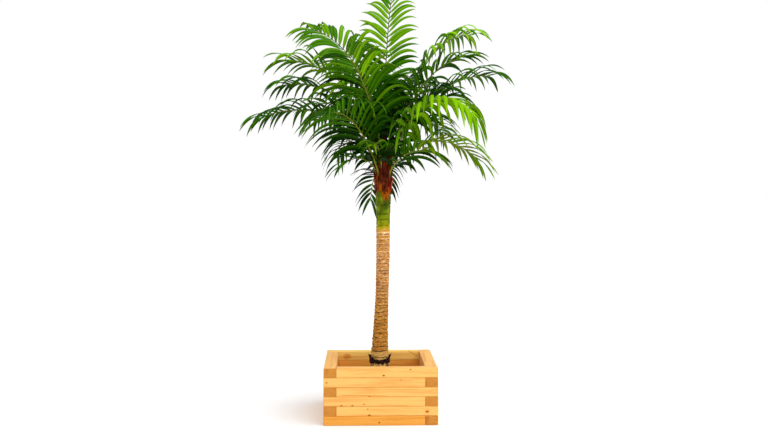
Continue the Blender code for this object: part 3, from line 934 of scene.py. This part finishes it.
def addFibre():
    dice = random.Random(21)
    points, faces = [], []
    grid = fibre["rows"], fibre["columns"]
    for number in range(fibre["strips"]):
        turn = number * 137.5 + dice.uniform(-8, 8)
        foot = dice.uniform(*fibre["foot"])
        height = dice.uniform(*fibre["height"])
        width = dice.uniform(*fibre["width"])
        lift = fibre["lift"] * dice.uniform(0.3, 1.2)
        first = len(points)
        down = dice.random() < fibre["downward"]
        shape = (turn, foot, height, width, lift, fibre["thickness"])
        points += fibreTongue(*shape, grid, number, down)
        faces += tongueFaces(grid, first)
    finish = fibreFinish("sheath_strips", (68, 20, 3), (134, 56, 9), (20, 6, 2))
    addPiece("sheath_strips", points, faces, [finish], smooth=50)
    red = fibreFinish("sheath_flap", (148, 18, 6), (214, 84, 50), (70, 10, 3))
    brown = fibreFinish("sheath_flap_brown", (92, 22, 6), (140, 48, 16), (36, 8, 3))
    grid = fibre["flapRows"], fibre["flapColumns"]
    for number, (name, isRed, *shape) in enumerate(fibre["flaps"]):
        tongue = fibreTongue(*shape, fibre["flapThickness"], grid, number + 80)
        finish = red if isRed else brown
        skin = addPiece(name + "_skin", tongue, tongueFaces(grid, 0), [finish], smooth=50)
        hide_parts(name)


addFibre()
print("sheath fibre torn")


# Collar round the trunk's foot
collar = {
    "foot": 0.279,
    "top": 0.322,
    "flare": 0.0125,
    "sideRise": 0.024,
    "dip": 0.020,
    "tatter": 0.0060,  # of its upper edge
    "lowerTatter": 0.010,
    "clear": 0.0028,
    "fold": 0.0020,
    "rough": 0.0009,
    "thickness": 0.0024,
    "columns": 132,
    "rows": 14,
}


def addCollar():
    columns, rows = collar["columns"], collar["rows"]
    outer, inner = [], []
    for row in range(rows):
        share = row / (rows - 1)
        for step in range(columns):
            turn = 2 * math.pi * step / columns
            around = aroundAt(turn)
            sideways = abs(math.cos(turn)) ** 3
            torn = noise.noise(around * 3.4) + 0.6 * noise.noise(around * 9.0)
            tornBelow = noise.noise(around * 5 + Vector((4, 4, 4)))
            rise = collar["sideRise"] * sideways - collar["dip"] + collar["tatter"] * torn
            height = collar["foot"] + (collar["top"] - collar["foot"] + rise) * share
            height += collar["lowerTatter"] * tornBelow * (1 - share)
            reach = trunkRadius(height) + collar["clear"]
            reach += collar["flare"] * (0.50 + 0.55 * sideways) * share**1.6
            reach += collar["fold"] * noise.noise(around * 6 + Vector((0, 0, share * 1.2)))
            reach += collar["rough"] * noise.noise(around * 22 + Vector((0, 0, share * 7)))
            thickness = collar["thickness"] * (1 - 0.5 * share)
            for skin, reached in ((outer, reach + thickness), (inner, reach)):
                skin.append((trunkLean(height) + reached * around.x, reached * around.y, height))
    faces = tubeFaces(rows, columns)
    count = rows * columns
    faces += [[index + count for index in quad[::-1]] for quad in faces]
    top = (rows - 1) * columns
    for step in range(columns):
        after = (step + 1) % columns
        faces.append((after, step, step + count, after + count))
        faces.append((top + step, top + after, top + after + count, top + step + count))
    finish, shader, place = newFinish("collar_fibre", {"Specular IOR Level": 0.15})
    threads = speckle(stretched(place, (150, 150, 90)), 1.0, 4.0, 0.65)
    tint = mixed(between(threads, 0.50, 0.72), paint(30, 14, 9), paint(84, 44, 30))
    tint.into(shader.inputs["Base Color"])
    (0.62 + threads * 0.25).into(shader.inputs["Roughness"])
    bumpInto(shader, threads, 0.0012, 0.8)
    piece = addPiece("collar_fibre", outer + inner, faces, [finish], smooth=60)
    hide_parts("foot_collar")


addCollar()
print("collar wrapped")


# Fronds, by the rule of the solids: turn about the trunk, height of the seat, rise of the rib at
# its seat and at its tip, how late it bends, its length, its sideways swing, its roll, its
# leaflets' scale and droop, and its tones, which paint light and shade on it
Frond = namedtuple("Frond", "name turn seat rise tip bend length swing roll leaf droop tones")
frondRows = (
    ("top", 85, 1.500, 77, 57, 1.3, 0.97, -8, 0, 0.76, 0.5, "fresh fresh green fresh"),
    ("front_middle", -104, 1.374, 70, -25, 1.0, 0.26, 0, 0, 0.50, 1.0, "fresh green"),
    ("front_left_low", -126, 1.330, 62, -14, 1.25, 0.64, 12, -26, 1.16, 0.95, "green deep green"),
    ("right_hanging", -37, 1.350, 72, -68, 1.75, 0.775, -3, 0, 0.94, 2.6, "sunlit sunlit fresh"),
    ("front_left_high", -108, 1.445, 64, 8, 0.8, 0.84, 4, -18, 1.08, 0.8, "sunlit fresh fresh green"),
    ("front_right_low", -46, 1.325, 60, -16, 0.85, 0.34, -6, 24, 0.92, 1.0, "green olive deep"),
    ("right_high", 34, 1.465, 65, 1, 2.8, 0.96, 2, 28, 0.90, 1.1, "fresh green sunlit green"),
    ("right_upper", -33, 1.450, 64, 9, 2.4, 0.66, 2, 0, 1.00, 0.7, "green green fresh deep"),
    ("right", 13, 1.400, 65, 0, 1.5, 0.82, 12, 12, 1.00, 1.05, "green deep green"),
    ("right_low", 24, 1.345, 57, -44, 1.05, 0.60, -8, 8, 0.98, 1.15, "olive olive fresh"),
    ("left_high", 138, 1.475, 83, 17, 1.25, 0.93, 1, 30, 0.95, 0.9, "green fresh green"),
    ("left_upper", 200, 1.435, 83, 4, 1.15, 0.73, -9, -10, 1.10, 0.7, "green fresh green"),
    ("left", 166, 1.415, 82, -4, 1.0, 0.72, 0, -10, 1.00, 1.0, "deep green deep"),
    ("left_low", 152, 1.380, 72, -20, 0.85, 0.80, 20, -12, 0.98, 1.1, "deep green deep"),
    ("front_left_middle", -138, 1.395, 76, -6, 1.2, 0.50, -6, -14, 1.06, 0.8, "green deep green"),
    ("front_left", -152, 1.345, 58, -44, 1.0, 0.22, 0, 0, 0.74, 0.9, "deep green"),
    ("front_right_middle", -26, 1.400, 78, 0, 1.4, 0.50, 4, 12, 1.00, 0.8, "green deep"),
    ("back_right", 52, 1.375, 60, -36, 1.3, 0.72, 4, 0, 0.95, 1.0, "deep shade green"),
    ("back_right_low", 84, 1.320, 48, -62, 0.9, 0.44, 0, 0, 0.65, 1.0, "shade deep"),
    ("back_left_low", 102, 1.310, 34, -76, 0.8, 0.36, 0, 0, 0.66, 0.9, "shade deep deep"),
    ("back_high", 104, 1.460, 74, 4, 1.4, 0.80, 0, 0, 0.95, 0.9, "green deep fresh"),
    ("back", 88, 1.405, 64, -20, 1.2, 0.76, 0, 0, 0.95, 1.1, "deep green shade"),
    ("back_left", 126, 1.395, 60, -22, 1.2, 0.74, 0, 0, 0.95, 1.1, "deep green shade"),
    ("back_middle", 115, 1.350, 52, -38, 1.1, 0.66, 0, 0, 0.90, 1.2, "shade deep"),
    ("back_upper", 62, 1.430, 70, -10, 1.5, 0.76, 0, 0, 0.95, 0.9, "green deep"),
)
fronds = [Frond("frond_" + name, *row) for name, *row in frondRows]
rib = {
    "width": (0.0094, 0.0032),  # at the seat and at the tip
    "thickness": (0.0064, 0.0024),
    "steps": 100,
    "sides": 14,
    "stations": 60,
    "clear": 0.0003,  # off the trunk
    "footDrop": 0.024,  # how far its foot runs down the trunk
    "footSections": (1.0, 0.72, 0.42, 0.18),  # where, as shares of that drop
    "footThickness": 0.0012,
    "footWidth": (0.62, 0.16),  # of its width at the seat: at the seat, and at the foot's end
    "footClear": 0.0016,
    "flare": (0.22, 0.03),  # extra width at the seat, and the share of the rib where it fades
    "groove": 0.45,  # along its upper side, as a share of its half thickness
    "blocks": 24,
    # Finishes: its colour, the mottling and the roughness
    "upper": ((44, 50, 8), (82, 76, 14), 0.45),
    "under": ((104, 116, 10), (126, 120, 16), 0.5),
    "socket": ((92, 102, 20), (120, 128, 30), 0.5),
}
leaflet = {
    "spacing": 0.0345,
    "from": 0.072,
    "to": 0.995,
    "length": 0.275,
    "longestAt": 0.25,
    "footLoss": 0.25,
    "tipLoss": 0.28,
    "width": (0.0264, 0.0165),  # of the leaflets at the rib's foot and at its tip
    "broad": {  # fronds with broader leaflets
        "frond_top": 1.2,
        "frond_left_high": 1.34,
        "frond_right_high": 1.25,
        "frond_right_hanging": 1.22,
        "frond_front_left_high": 1.08,
    },
    "rootInset": 0.7,  # where its root is, in half widths of the rib
    "rootWidth": 0.30,  # as a share of the full width
    "opened": 0.22,  # how far along it is at its full width, and where it starts to narrow
    "closing": 0.40,
    "thickness": 0.0009,
    "thinnest": 0.35,  # at the tip, as a share of that
    "midrib": 0.0010,  # half its width
    "midribRise": 0.75,  # and how far it stands out, in thicknesses
    "sweepLate": 2.0,
    "sweep": (60, 26),  # degrees from the rib at its foot and at its tip
    "lift": (16, 34),  # above the rib's plane, where the rib is upright and where it is level
    "droop": (0.05, 1.9),  # downward pull at its root and at its tip
    "droopLate": 1.7,
    "fold": 17,  # degrees that each half folds down
    "bulge": 0.18,  # of each half, as a share of that fold
    "stagger": (0.15, (-0.10, 0.10)),  # between a pair's two sides, and by chance, in gaps
    "moods": (0.85, 1.15),  # how softly all the leaflets of one frond droop
    "segments": 10,
    # Moulded socket at its root: places along it, and radii there
    "sleeve": ((-0.003, 0.0027), (0.0025, 0.0026), (0.0065, 0.0021), (0.0105, 0.0015)),
    "sleeveSides": 7,
    "sleeveFlat": 0.8,  # its height as a share of its width
    "turns": (0, 10, -10, 20, -20, 30, -30),  # tried in turn where it would touch a neighbour
    "cuts": (1.0, 0.8, 0.6, 0.42),
    "clear": 0.0012,
    "glossTint": (130, 215, 30),
    "glossy": {"upper": 0.45, "under": 0.6, "midrib": 0.5},  # roughness
    "inner": (0.46, 0.24),  # leaflets nearer the trunk than these shares are a tone darker, as painted shade
    "innerBlur": 0.10,
    "shadedHand": {"frond_front_left_high": 1},  # a side of a frond that is a tone darker
    "darker": {  # the next darker tone to each
        "sunlit": "fresh",
        "fresh": "green",
        "green": "deep",
        "deep": "shade",
        "olive": "green",
    },
    # What differs between leaflets, each drawn between two limits
    "chances": {
        "sweep": (-4, 4),
        "lift": (-6, 6),
        "length": (0.93, 1.05),
        "droop": (0.75, 1.3),
        "roll": (-14, 14),
        "twist": (-18, 18),
    },
    # Points round its section: place across it, in half widths or at the midrib, and upper or under
    "section": (
        (1, 0),
        (0.55, 1),
        ("midrib", 1),
        ("-midrib", 1),
        (-0.55, 1),
        (-1, 0),
        (-0.55, -1),
        ("-midrib", -1),
        ("midrib", -1),
        (0.55, -1),
    ),
    "parts": (0, 0, 2, 0, 0, 1, 1, 2, 1, 1),  # upper, under or midrib, for each face round it
    # Tones: upper side, under side and midrib. Sunlit to shade run from painted light to painted
    # shade; each frond is dealt tones by how lit it sits, its leaflets among them at random
    "tones": {
        "sunlit": ((122, 182, 4), (104, 152, 8), (170, 204, 40)),
        "fresh": ((90, 146, 2), (76, 118, 4), (138, 174, 22)),
        "green": ((56, 110, 1), (46, 88, 3), (98, 142, 14)),
        "deep": ((32, 78, 1), (27, 60, 2), (62, 104, 10)),
        "shade": ((14, 44, 1), (14, 35, 2), (36, 68, 7)),
        "olive": ((98, 128, 2), (84, 106, 5), (142, 156, 22)),
    },
}


class Rib:
    def __init__(self, plan):
        share = np.linspace(0.0, 1.0, rib["steps"] + 1)
        rise = np.radians(plan.rise + (plan.tip - plan.rise) * share**plan.bend)
        turn = np.radians(plan.turn + plan.swing * share)
        level = np.cos(rise)
        self.share = share
        self.ahead = np.stack([level * np.cos(turn), level * np.sin(turn), np.sin(rise)], 1)
        flat = np.stack([np.sin(turn), -np.cos(turn), np.zeros_like(share)], 1)
        roll = np.radians(plan.roll * np.clip(share * 3, 0, 1))[:, None]  # over its first third
        self.side = flat * np.cos(roll) + np.cross(flat, self.ahead) * np.sin(roll)
        self.upper = np.cross(self.side, self.ahead)
        steps = (self.ahead[1:] + self.ahead[:-1]) / 2 * plan.length / rib["steps"]
        way = np.concatenate([[[0.0, 0.0, 0.0]], np.cumsum(steps, axis=0)])
        self.points = way + np.array(self.seat(plan))
        self.plan = plan

    def seat(self, plan):  # the foot of the rib, its inner edge just clear of the trunk
        turn = math.radians(plan.turn)
        outward = Vector((math.cos(turn), math.sin(turn), 0.0))
        far = outward * 0.5 + Vector((trunkLean(plan.seat), 0.0, plan.seat))
        inner = Vector(self.upper[0]) * rib["thickness"][0] / 2
        reach = []
        for across in (-0.5, -0.25, 0.0, 0.25, 0.5):
            start = far + inner + Vector(self.side[0]) * rib["width"][0] * across
            reach.append(trunkSolid.ray_cast(start, -outward)[3])
        return far - outward * (min(reach) - rib["clear"])

    def at(self, share):  # place, ahead, side and upper at one share
        found = []
        for rows in (self.points, self.ahead, self.side, self.upper):
            found.append(np.array([np.interp(share, self.share, axis) for axis in rows.T]))
        return found

    def halfWidth(self, share):
        return np.interp(share, (0, 1), rib["width"]) / 2

    def halfThickness(self, share):
        return np.interp(share, (0, 1), rib["thickness"]) / 2


def squareTube(sections):  # corners and triangles of a bar through places with a width and a height
    corners, faces = [], []
    for place, wide, thick in sections:
        square = (-wide - thick, wide - thick, wide + thick, thick - wide)
        corners += [Vector(place + corner) for corner in square]
    for quad in tubeFaces(len(sections), 4):
        faces += [quad[:3], [quad[0], quad[2], quad[3]]]
    return corners, faces


def ribBlocks(line):  # a bar along a rib, which leaflets keep clear of
    sections = []
    for share in np.linspace(0.0, 1.0, rib["blocks"] + 1):
        place, _, side, upper = line.at(share)
        wide = side * (line.halfWidth(share) + leaflet["clear"])
        thick = upper * (line.halfThickness(share) + leaflet["clear"])
        sections.append((place, wide, thick))
    return BVHTree.FromPolygons(*squareTube(sections))


def leafSize(leafy):  # share of the full length along the leafy part of the rib
    longest = leaflet["longestAt"]
    if leafy < longest:
        return 1.0 - leaflet["footLoss"] * (1.0 - leafy / longest) ** 2
    return 1.0 - leaflet["tipLoss"] * ((leafy - longest) / (1.0 - longest)) ** 3


def leafHalfWidths(along, width):  # narrow at the root, widest at a third, drawn out to a point
    root, opened, closing = leaflet["rootWidth"], leaflet["opened"], leaflet["closing"]
    rising = root + (1 - root) * np.sin(np.clip(along / opened, 0, 1) * math.pi / 2)
    falling = 1 - np.clip((along - closing) / (1 - closing), 0, 1) ** 2
    return width / 2 * np.minimum(rising, falling)


def leafLine(line, share, hand, turnedUp, cut, luck):  # midline, across, up, half widths, heading
    place, ahead, side, upper = line.at(share)
    leafy = (share - leaflet["from"]) / (leaflet["to"] - leaflet["from"])
    first, last = leaflet["sweep"]
    sweep = math.radians(first + (last - first) * leafy ** leaflet["sweepLate"] + luck["sweep"])
    level = math.hypot(ahead[0], ahead[1])
    lift = math.radians(np.interp(level, (0, 1), leaflet["lift"]) + turnedUp + luck["lift"])
    away = side * hand * math.cos(lift) + upper * math.sin(lift)
    way = ahead * math.cos(sweep) + away * math.sin(sweep)
    length = leaflet["length"] * line.plan.leaf * leafSize(leafy) * cut * luck["length"]
    along = np.linspace(0, 1, leaflet["segments"] + 1)
    soft = leaflet["droop"][1] * luck["droop"] * line.plan.droop
    pull = leaflet["droop"][0] + soft * along ** leaflet["droopLate"]
    heading = way[None, :] - pull[:, None] * np.array([0.0, 0.0, 1.0])
    heading /= np.linalg.norm(heading, axis=1)[:, None]
    root = place + side * hand * line.halfWidth(share) * leaflet["rootInset"]
    steps = (heading[1:] + heading[:-1]) / 2 * length / leaflet["segments"]
    points = root + np.concatenate([[[0.0, 0.0, 0.0]], np.cumsum(steps, axis=0)])
    across = ahead[None, :] - heading * (heading @ ahead)[:, None]
    across /= np.linalg.norm(across, axis=1)[:, None]
    over = np.cross(heading, across) * hand
    roll = math.radians(1) * (luck["roll"] + luck["twist"] * along)
    turned = across * np.cos(roll)[:, None] + over * np.sin(roll)[:, None]
    over = over * np.cos(roll)[:, None] - across * np.sin(roll)[:, None]
    width = np.interp(leafy, (0, 1), leaflet["width"]) * (0.5 + 0.5 * cut)
    width *= leaflet["broad"].get(line.plan.name, 1.0)
    return points, turned, over, leafHalfWidths(along, width), heading


def leafBlock(shape):  # a bar round the midline, for testing what it would touch
    points, across, over, half = shape[:4]
    sections = []
    for i in range(1, len(points), 3):  # every third section is enough
        wide = across[i] * (half[i] + leaflet["clear"])
        thick = over[i] * (leaflet["thickness"] + leaflet["clear"])
        sections.append((points[i], wide, thick))
    return squareTube(sections)


def clearLeaf(line, share, hand, luck, others):  # the first try that touches nothing, if any
    for cut in leaflet["cuts"]:
        for turnedUp in leaflet["turns"]:
            shape = leafLine(line, share, hand, turnedUp, cut, luck)
            block = leafBlock(shape)
            tree = BVHTree.FromPolygons(*block)
            if not any(tree.overlap(other) for other in others):
                return shape, block
    return None


def leafRings(shape):  # ten points round each section: five above and five below, edges shared
    points, across, over, half = shape[:4]
    midrib = leaflet["midrib"] / np.maximum(half, leaflet["midrib"] * 1.3)
    places = {"midrib": midrib, "-midrib": -midrib}
    fold = math.tan(math.radians(leaflet["fold"])) * half
    thin = leaflet["thinnest"]
    thick = leaflet["thickness"] * (thin + (1 - thin) * half / half.max())
    rows = []
    for wide, face in leaflet["section"]:
        if wide in places:
            rise = face * thick * leaflet["midribRise"]
        else:
            bulge = leaflet["bulge"] * (1 - (2 * abs(wide) - 1) ** 2)
            rise = face * thick * 0.5 + fold * (bulge - abs(wide))
        out = places.get(wide, wide) * half
        rows.append(points + across * out[:, None] + over * rise[:, None])
    return np.stack(rows, axis=1)


def leafFaces(hand, first, tone):
    body, sides = leaflet["segments"], len(leaflet["section"])
    tip = first + body * sides
    last = tip - sides
    faces = tubeFaces(body, sides, first)
    faces += [(last + j, last + (j + 1) % sides, tip) for j in range(sides)]
    faces.append(list(range(first, first + sides))[::-1])
    slots = [tone * 3 + part for part in leaflet["parts"]] * body + [tone * 3 + 1]
    if hand < 0:
        faces = [face[::-1] for face in faces]
    return faces, slots


def leafFinishes():
    made = []
    for tone, tints in leaflet["tones"].items():
        for part, tint in zip(leaflet["glossy"], tints):
            constants = {
                "Base Color": paint(*tint),
                "Roughness": leaflet["glossy"][part],
                "Specular IOR Level": 0.09,
                "Specular Tint": paint(*leaflet["glossTint"]),
            }
            made.append(newFinish(f"leaf_{tone}_{part}", constants)[0])
    return made


def ribFinish(name, tint, mottle, roughness):
    finish, shader, place = newFinish(name, {"Roughness": roughness, "Specular IOR Level": 0.15})
    cloud = between(speckle(place, 55), 0.40, 0.68)
    mixed(cloud * 0.6, paint(*tint), paint(*mottle)).into(shader.inputs["Base Color"])
    return finish


def ribTube(line):  # rings along the rib, from its foot on the trunk to its tip
    outward = np.array(aroundAt(math.radians(line.plan.turn)))
    sections = []
    for drop in rib["footSections"]:
        height = line.points[0][2] - rib["footDrop"] * drop
        thick = np.interp(drop, (0, 1), (line.halfThickness(0), rib["footThickness"]))
        wide = line.halfWidth(0) * np.interp(drop, (0, 1), rib["footWidth"])
        middle = np.array([trunkLean(height), 0.0, height])
        reach = trunkRadius(height) + thick + rib["footClear"]
        sections.append((middle + outward * reach, line.side[0], -outward, wide, thick))
    extra, fade = rib["flare"]
    for share in np.linspace(0.012, 1.0, rib["stations"]):
        at, _, across, upper = line.at(share)
        wide = line.halfWidth(share) * (1 + extra * math.exp(-share / fade))
        sections.append((at, across, upper, wide, line.halfThickness(share)))
    points = []
    for at, across, upper, wide, thick in sections:
        for step in range(rib["sides"]):
            angle = 2 * math.pi * step / rib["sides"]
            rise, out = math.cos(angle), math.sin(angle)
            groove = rib["groove"] * max(rise, 0.0) ** 3
            points.append(at + upper * thick * (rise - groove) + across * wide * out)
    faces = closedTube(len(sections), rib["sides"])
    quarter = rib["sides"] // 4
    above = [step < quarter or step >= rib["sides"] - quarter - 1 for step in range(rib["sides"])]
    slots = [0 if up else 1 for up in above] * (len(sections) - 1) + [1, 1]
    return points, faces, slots


def addSleeve(points, faces, slots, shape):  # the moulded socket round a leaflet's root
    root, ahead, upward = shape[0][0], shape[4][0], shape[2][0]
    sideways = np.cross(ahead, upward)
    sides = leaflet["sleeveSides"]
    added = closedTube(len(leaflet["sleeve"]), sides, len(points))
    for out, radius in leaflet["sleeve"]:
        for step in range(sides):
            angle = 2 * math.pi * step / sides
            high, wide = math.cos(angle) * leaflet["sleeveFlat"], math.sin(angle)
            points.append(root + ahead * out + (upward * high + sideways * wide) * radius)
    faces += added
    slots += [2] * len(added)


def drawLeaf(plan, dice, middle, hand, mood):  # its share of the rib, its chances and its tone
    apart, chance = leaflet["stagger"]
    pair, pairs = middle
    stagger = apart * hand + dice.uniform(*chance)
    place = (pair + 0.5 + stagger) / pairs
    share = leaflet["from"] + (leaflet["to"] - leaflet["from"]) * place
    luck = {name: dice.uniform(*limits) for name, limits in leaflet["chances"].items()}
    luck["droop"] *= mood
    tone = dice.choice(plan.tones.split())
    blur = leaflet["innerBlur"]
    # Painted shade: a tone darker near the trunk
    for depth in leaflet["inner"]:
        if share < depth + dice.uniform(-blur, blur):
            tone = leaflet["darker"].get(tone, tone)
    if hand == leaflet["shadedHand"].get(plan.name):
        tone = leaflet["darker"].get(tone, tone)
    return share, luck, tone


def growLeaflets(line, dice, others):  # those that find room, and how many don't
    plan = line.plan
    pairs = round(plan.length * (leaflet["to"] - leaflet["from"]) / leaflet["spacing"])
    mood = dice.uniform(*leaflet["moods"])
    grown = []
    for pair in range(pairs):
        for hand in (-1, 1):
            share, luck, tone = drawLeaf(plan, dice, (pair, pairs), hand, mood)
            found = clearLeaf(line, share, hand, luck, others)
            if found is not None:
                grown.append((hand, tone, *found))
    return grown, 2 * pairs - len(grown)


def growFronds():
    order = list(leaflet["tones"])
    finishes = leafFinishes()
    ribLooks = {"rib_upper": rib["upper"], "rib_under": rib["under"], "leaf_socket": rib["socket"]}
    ribFinishes = [ribFinish(name, *look) for name, look in ribLooks.items()]
    lines = [Rib(plan) for plan in fronds]
    ribTrees = [ribBlocks(line) for line in lines]
    placed = []
    standing, skipped = 0, 0
    for number, line in enumerate(lines):
        name = line.plan.name
        others = [trunkSolid] + ribTrees[:number] + ribTrees[number + 1 :] + placed
        grown, missing = growLeaflets(line, random.Random(300 + number), others)
        standing += len(grown)
        skipped += missing
        points, faces, slots = [], [], []
        ribPoints, ribFaces, ribSlots = ribTube(line)
        blockPoints, blockFaces = [], []
        for hand, tone, shape, (corners, strips) in grown:
            added, parts = leafFaces(hand, len(points), order.index(tone))
            points += leafRings(shape)[:-1].reshape(-1, 3).tolist() + [shape[0][-1].tolist()]
            faces += added
            slots += parts
            addSleeve(ribPoints, ribFaces, ribSlots, shape)
            blockFaces += [[len(blockPoints) + index for index in strip] for strip in strips]
            blockPoints += corners
        placed.append(BVHTree.FromPolygons(blockPoints, blockFaces))
        leaves = addPiece(name + "_leaflets", points, faces, finishes, slots, 35)
        stem = addPiece(name + "_rib", ribPoints, ribFaces, ribFinishes, ribSlots)
        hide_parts(name)
        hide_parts(name)
    print("fronds:", len(lines), "with", standing, "leaflets,", skipped, "left out")


growFronds()
